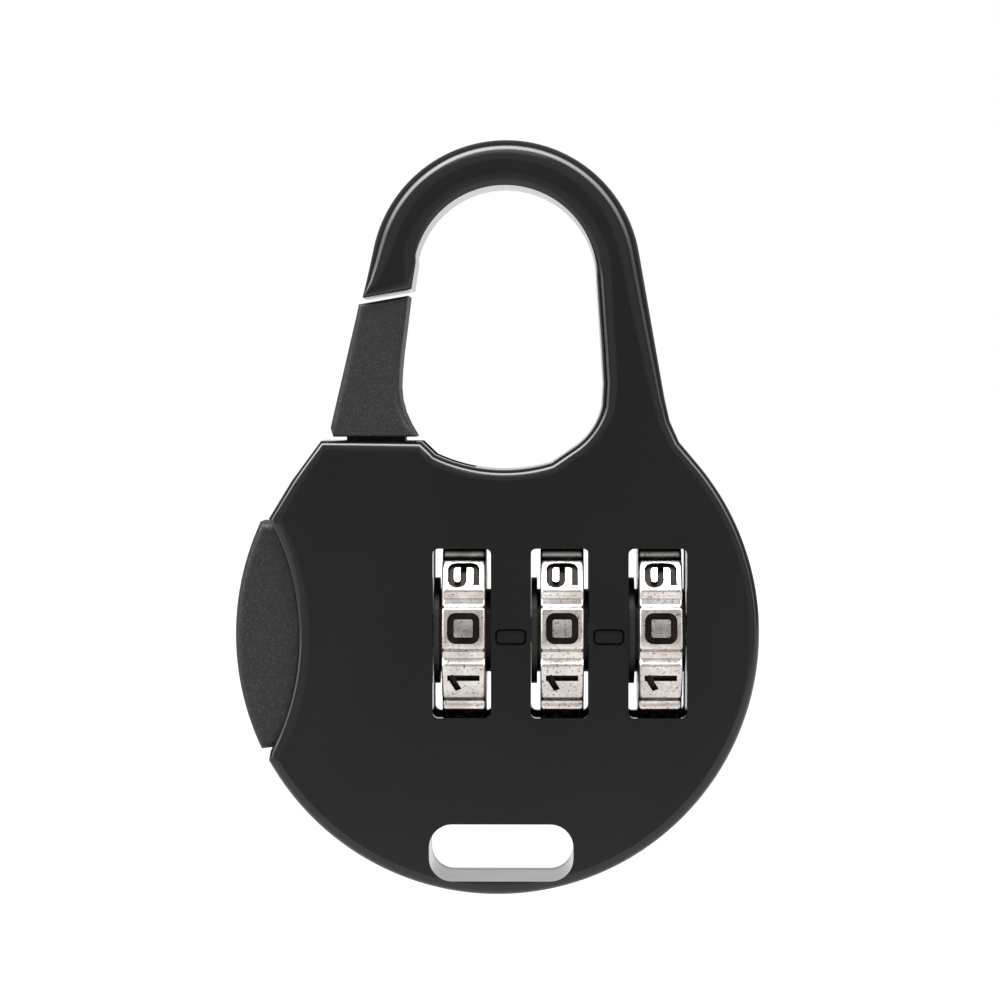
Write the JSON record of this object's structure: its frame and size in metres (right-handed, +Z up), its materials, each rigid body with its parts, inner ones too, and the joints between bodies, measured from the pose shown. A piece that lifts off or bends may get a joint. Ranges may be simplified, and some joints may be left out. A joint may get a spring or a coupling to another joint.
{
  "type": "combination padlock",
  "caption": "Small round padlock with a fixed cast hook, a rocker gate worked by a side thumb pad, number wheels and a lanyard slot.",
  "frame": {"origin": "top of the hook's inner loop at mid-thickness, where the lock hangs", "axes": "+Z up from the round body to the hook, +X towards the right side away from the gate, -Y out of the front face that shows the numbers"},
  "size_m": [0.045, 0.0158, 0.0648],
  "materials": {
    "black_paint": "satin-gloss black paint on cast zinc",
    "grained_black": "matt sand-grained black paint on cast zinc",
    "nickel": "bright nickel plate",
    "digit_fill": "black paint filling the engraved digits",
    "steel": "plain steel",
    "black_plastic": "black acetal"
  },
  "bodies": {
    "lock_body": {"body_casting": "black_paint", "rear_cover": "black_paint", "cover_rivet_1": "black_paint", "cover_rivet_2": "black_paint", "cover_rivet_3": "black_paint", "cover_rivet_4": "black_paint", "lever_pin": "steel", "lever_spring": "steel", "spindle_spring": "steel", "detent_spring_1": "steel", "detent_spring_2": "steel", "detent_spring_3": "steel"},
    "lever": {"gate_lever": "grained_black"},
    "spindle_body": {"spindle": "steel", "spindle_clip": "steel"},
    "dial_1": {"number_ring_1": "nickel", "code_sleeve_1": "black_plastic"},
    "dial_2": {"number_ring_2": "nickel", "code_sleeve_2": "black_plastic"},
    "dial_3": {"number_ring_3": "nickel", "code_sleeve_3": "black_plastic"}
  },
  "joints": [
    {"name": "lever_press", "type": "hinge", "parent": "lock_body", "child": "lever", "pos_m": [-0.0105, 0, -0.0496], "axis": [0, 1, 0], "range_deg": [0, 12], "stiffness_Nm_per_rad": 0.1, "springref_deg": -17.19, "deforming": ["lever_spring"]},
    {"name": "spindle_slide", "type": "slide", "parent": "lock_body", "child": "spindle_body", "axis": [1, 0, 0], "range_m": [0, 0.0024], "stiffness_N_per_m": 15, "springref_m": -0.001, "deforming": ["spindle_spring"]},
    {"name": "dial_1_turn", "type": "hinge", "parent": "lock_body", "child": "dial_1", "pos_m": [-0.00373, 0, -0.0384], "axis": [1, 0, 0], "continuous": true},
    {"name": "dial_2_turn", "type": "hinge", "parent": "lock_body", "child": "dial_2", "pos_m": [0.00467, 0, -0.0384], "axis": [1, 0, 0], "continuous": true},
    {"name": "dial_3_turn", "type": "hinge", "parent": "lock_body", "child": "dial_3", "pos_m": [0.01307, 0, -0.0384], "axis": [1, 0, 0], "continuous": true}
  ],
  "couplings": [
    {"joint": "spindle_slide", "follows": "lever_press", "m_per_rad": 0.0111}
  ]
}
